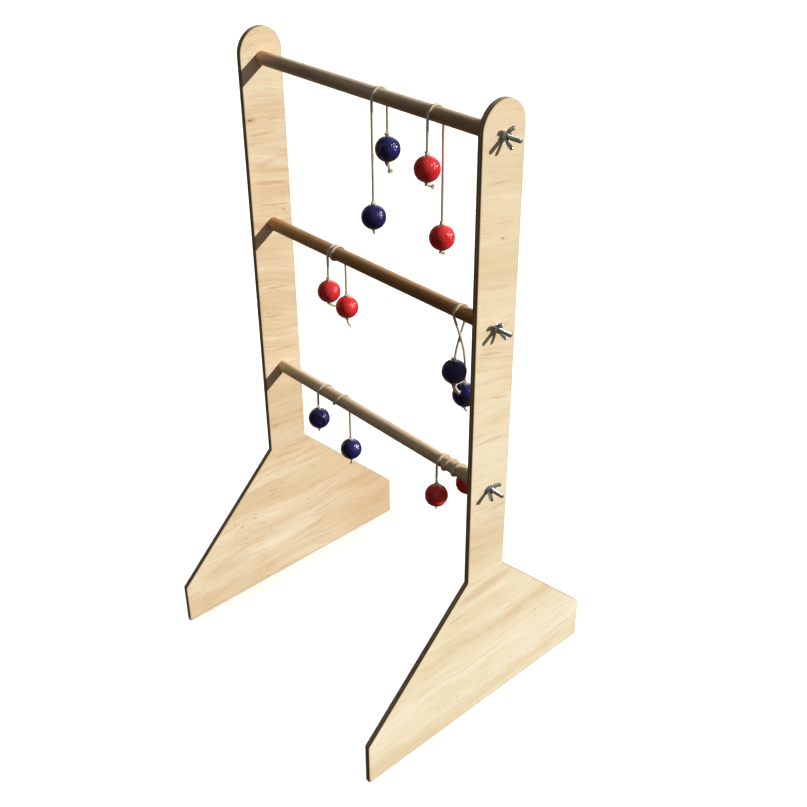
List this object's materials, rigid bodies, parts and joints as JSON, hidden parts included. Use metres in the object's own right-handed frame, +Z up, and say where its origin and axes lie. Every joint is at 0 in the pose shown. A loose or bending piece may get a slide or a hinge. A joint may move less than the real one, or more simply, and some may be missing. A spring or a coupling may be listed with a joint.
{
  "type": "ladder toss frame",
  "caption": "Free-standing ladder toss target: plywood side panels joined by dowel rungs with studs and wing nuts, with corded golf-ball bolas hanging over the rungs.",
  "frame": {"origin": "on the floor, midway between the side panels and midway between the foot tips", "axes": "+X along the rungs, from the left panel to the right panel; +Y from the front foot tips to the back; +Z up"},
  "size_m": [0.66, 0.577, 1.1999],
  "materials": {
    "panel_ply": "pale clear-grained plywood with plain ply edges, unvarnished; species not known",
    "top_rung_wood": "grey-brown hardwood dowel, lightly oiled",
    "middle_rung_wood": "warm orange-brown hardwood dowel, lightly oiled",
    "bottom_rung_wood": "pale grey-tan hardwood dowel, lightly oiled",
    "zinc_stud": "bright zinc-plated thread",
    "zinc_washer": "bright zinc plate",
    "zinc_wing_nut": "zinc-plated casting, slightly dull",
    "cotton_cord": "natural cotton braid",
    "golf_ball_blue": "dimpled ball, navy gloss paint",
    "golf_ball_red": "dimpled ball, red gloss paint"
  },
  "bodies": {
    "frame": {"left_side_panel": "panel_ply", "right_side_panel": "panel_ply", "top_rung": "top_rung_wood", "middle_rung": "middle_rung_wood", "bottom_rung": "bottom_rung_wood", "top_left_stud": "zinc_stud", "top_right_stud": "zinc_stud", "middle_left_stud": "zinc_stud", "middle_right_stud": "zinc_stud", "bottom_left_stud": "zinc_stud", "bottom_right_stud": "zinc_stud"},
    "top_left_washer": {"top_left_washer": "zinc_washer"},
    "top_left_wing_nut": {"top_left_wing_nut": "zinc_wing_nut"},
    "top_right_washer": {"top_right_washer": "zinc_washer"},
    "top_right_wing_nut": {"top_right_wing_nut": "zinc_wing_nut"},
    "middle_left_washer": {"middle_left_washer": "zinc_washer"},
    "middle_left_wing_nut": {"middle_left_wing_nut": "zinc_wing_nut"},
    "middle_right_washer": {"middle_right_washer": "zinc_washer"},
    "middle_right_wing_nut": {"middle_right_wing_nut": "zinc_wing_nut"},
    "bottom_left_washer": {"bottom_left_washer": "zinc_washer"},
    "bottom_left_wing_nut": {"bottom_left_wing_nut": "zinc_wing_nut"},
    "bottom_right_washer": {"bottom_right_washer": "zinc_washer"},
    "bottom_right_wing_nut": {"bottom_right_wing_nut": "zinc_wing_nut"},
    "top_blue_bola": {"top_blue_cord_over_rung": "cotton_cord"},
    "top_blue_front": {"top_blue_front_cord": "cotton_cord", "top_blue_front_ball": "golf_ball_blue"},
    "top_blue_back": {"top_blue_back_cord": "cotton_cord", "top_blue_back_ball": "golf_ball_blue"},
    "top_red_bola": {"top_red_cord_over_rung": "cotton_cord"},
    "top_red_front": {"top_red_front_cord": "cotton_cord", "top_red_front_ball": "golf_ball_red"},
    "top_red_back": {"top_red_back_cord": "cotton_cord", "top_red_back_ball": "golf_ball_red"},
    "middle_red_bola": {"middle_red_cord_over_rung": "cotton_cord"},
    "middle_red_front": {"middle_red_front_cord": "cotton_cord", "middle_red_front_ball": "golf_ball_red"},
    "middle_red_back": {"middle_red_back_cord": "cotton_cord", "middle_red_back_ball": "golf_ball_red"},
    "bottom_blue_bola": {"bottom_blue_cord_over_rung": "cotton_cord"},
    "bottom_blue_front": {"bottom_blue_front_cord": "cotton_cord", "bottom_blue_front_ball": "golf_ball_blue"},
    "bottom_blue_back": {"bottom_blue_back_cord": "cotton_cord", "bottom_blue_back_ball": "golf_ball_blue"},
    "bottom_red_bola": {"bottom_red_cord_over_rung": "cotton_cord"},
    "bottom_red_front": {"bottom_red_front_cord": "cotton_cord", "bottom_red_front_ball": "golf_ball_red"},
    "bottom_red_back": {"bottom_red_back_cord": "cotton_cord", "bottom_red_back_ball": "golf_ball_red"},
    "middle_blue_bola": {"middle_blue_cord_over_rung": "cotton_cord"},
    "middle_blue_pair": {"middle_blue_upper_cord": "cotton_cord", "middle_blue_upper_ball": "golf_ball_blue", "middle_blue_lower_cord": "cotton_cord", "middle_blue_lower_ball": "golf_ball_blue"}
  },
  "joints": [
    {"name": "top_left_nut_travel", "type": "slide", "parent": "frame", "child": "top_left_washer", "axis": [-1, 0, 0], "range_m": [0, 0.0201]},
    {"name": "top_left_nut_spin", "type": "hinge", "parent": "top_left_washer", "child": "top_left_wing_nut", "pos_m": [-0.31, 0, 1.146], "axis": [-1, 0, 0], "range_deg": [0, 5760]},
    {"name": "top_right_nut_travel", "type": "slide", "parent": "frame", "child": "top_right_washer", "axis": [1, 0, 0], "range_m": [0, 0.0201]},
    {"name": "top_right_nut_spin", "type": "hinge", "parent": "top_right_washer", "child": "top_right_wing_nut", "pos_m": [0.31, 0, 1.146], "axis": [1, 0, 0], "range_deg": [0, 5760]},
    {"name": "middle_left_nut_travel", "type": "slide", "parent": "frame", "child": "middle_left_washer", "axis": [-1, 0, 0], "range_m": [0, 0.0201]},
    {"name": "middle_left_nut_spin", "type": "hinge", "parent": "middle_left_washer", "child": "middle_left_wing_nut", "pos_m": [-0.31, 0, 0.833], "axis": [-1, 0, 0], "range_deg": [0, 5760]},
    {"name": "middle_right_nut_travel", "type": "slide", "parent": "frame", "child": "middle_right_washer", "axis": [1, 0, 0], "range_m": [0, 0.0201]},
    {"name": "middle_right_nut_spin", "type": "hinge", "parent": "middle_right_washer", "child": "middle_right_wing_nut", "pos_m": [0.31, 0, 0.833], "axis": [1, 0, 0], "range_deg": [0, 5760]},
    {"name": "bottom_left_nut_travel", "type": "slide", "parent": "frame", "child": "bottom_left_washer", "axis": [-1, 0, 0], "range_m": [0, 0.0201]},
    {"name": "bottom_left_nut_spin", "type": "hinge", "parent": "bottom_left_washer", "child": "bottom_left_wing_nut", "pos_m": [-0.31, 0, 0.52], "axis": [-1, 0, 0], "range_deg": [0, 5760]},
    {"name": "bottom_right_nut_travel", "type": "slide", "parent": "frame", "child": "bottom_right_washer", "axis": [1, 0, 0], "range_m": [0, 0.0201]},
    {"name": "bottom_right_nut_spin", "type": "hinge", "parent": "bottom_right_washer", "child": "bottom_right_wing_nut", "pos_m": [0.31, 0, 0.52], "axis": [1, 0, 0], "range_deg": [0, 5760]},
    {"name": "top_blue_slide", "type": "slide", "parent": "frame", "child": "top_blue_bola", "axis": [1, 0, 0], "range_m": [-0.285, 0.078]},
    {"name": "top_blue_front_swing", "type": "hinge", "parent": "top_blue_bola", "child": "top_blue_front", "pos_m": [0.024, -0.0149, 1.138], "axis": [-1, 0, 0], "range_deg": [0, 60]},
    {"name": "top_blue_back_swing", "type": "hinge", "parent": "top_blue_bola", "child": "top_blue_back", "pos_m": [0.028, 0.0149, 1.138], "axis": [1, 0, 0], "range_deg": [0, 60]},
    {"name": "top_red_slide", "type": "slide", "parent": "frame", "child": "top_red_bola", "axis": [1, 0, 0], "range_m": [-0.078, 0.104]},
    {"name": "top_red_front_swing", "type": "hinge", "parent": "top_red_bola", "child": "top_red_front", "pos_m": [0.1529, -0.0149, 1.138], "axis": [-1, 0, 0], "range_deg": [0, 60]},
    {"name": "top_red_back_swing", "type": "hinge", "parent": "top_red_bola", "child": "top_red_back", "pos_m": [0.1574, 0.0149, 1.138], "axis": [1, 0, 0], "range_deg": [0, 60]},
    {"name": "middle_red_slide", "type": "slide", "parent": "frame", "child": "middle_red_bola", "axis": [1, 0, 0], "range_m": [-0.158, 0.25]},
    {"name": "middle_red_front_swing", "type": "hinge", "parent": "middle_red_bola", "child": "middle_red_front", "pos_m": [-0.1055, -0.0149, 0.825], "axis": [-1, 0, 0], "range_deg": [0, 60]},
    {"name": "middle_red_back_swing", "type": "hinge", "parent": "middle_red_bola", "child": "middle_red_back", "pos_m": [-0.0916, 0.0149, 0.825], "axis": [1, 0, 0], "range_deg": [0, 60]},
    {"name": "bottom_blue_slide", "type": "slide", "parent": "frame", "child": "bottom_blue_bola", "axis": [1, 0, 0], "range_m": [-0.108, 0.225]},
    {"name": "bottom_blue_front_swing", "type": "hinge", "parent": "bottom_blue_bola", "child": "bottom_blue_front", "pos_m": [-0.1552, -0.0149, 0.512], "axis": [-1, 0, 0], "range_deg": [0, 60]},
    {"name": "bottom_blue_back_swing", "type": "hinge", "parent": "bottom_blue_bola", "child": "bottom_blue_back", "pos_m": [-0.0942, 0.0149, 0.512], "axis": [1, 0, 0], "range_deg": [0, 60]},
    {"name": "bottom_red_slide", "type": "slide", "parent": "frame", "child": "bottom_red_bola", "axis": [1, 0, 0], "range_m": [-0.225, 0.035]},
    {"name": "bottom_red_front_swing", "type": "hinge", "parent": "bottom_red_bola", "child": "bottom_red_front", "pos_m": [0.1826, -0.0149, 0.512], "axis": [-1, 0, 0], "range_deg": [0, 60]},
    {"name": "bottom_red_back_swing", "type": "hinge", "parent": "bottom_red_bola", "child": "bottom_red_back", "pos_m": [0.2288, 0.0149, 0.5185], "axis": [1, 0, 0], "range_deg": [0, 60]},
    {"name": "middle_blue_slide", "type": "slide", "parent": "frame", "child": "middle_blue_bola", "axis": [1, 0, 0], "range_m": [-0.25, 0.043]},
    {"name": "middle_blue_pair_swing", "type": "hinge", "parent": "middle_blue_bola", "child": "middle_blue_pair", "pos_m": [0.2194, 0, 0.785], "axis": [1, 0, 0], "range_deg": [-35, 35]}
  ],
  "couplings": [
    {"joint": "top_left_nut_travel", "follows": "top_left_nut_spin", "m_per_rad": 0.00019894},
    {"joint": "top_right_nut_travel", "follows": "top_right_nut_spin", "m_per_rad": 0.00019894},
    {"joint": "middle_left_nut_travel", "follows": "middle_left_nut_spin", "m_per_rad": 0.00019894},
    {"joint": "middle_right_nut_travel", "follows": "middle_right_nut_spin", "m_per_rad": 0.00019894},
    {"joint": "bottom_left_nut_travel", "follows": "bottom_left_nut_spin", "m_per_rad": 0.00019894},
    {"joint": "bottom_right_nut_travel", "follows": "bottom_right_nut_spin", "m_per_rad": 0.00019894}
  ]
}
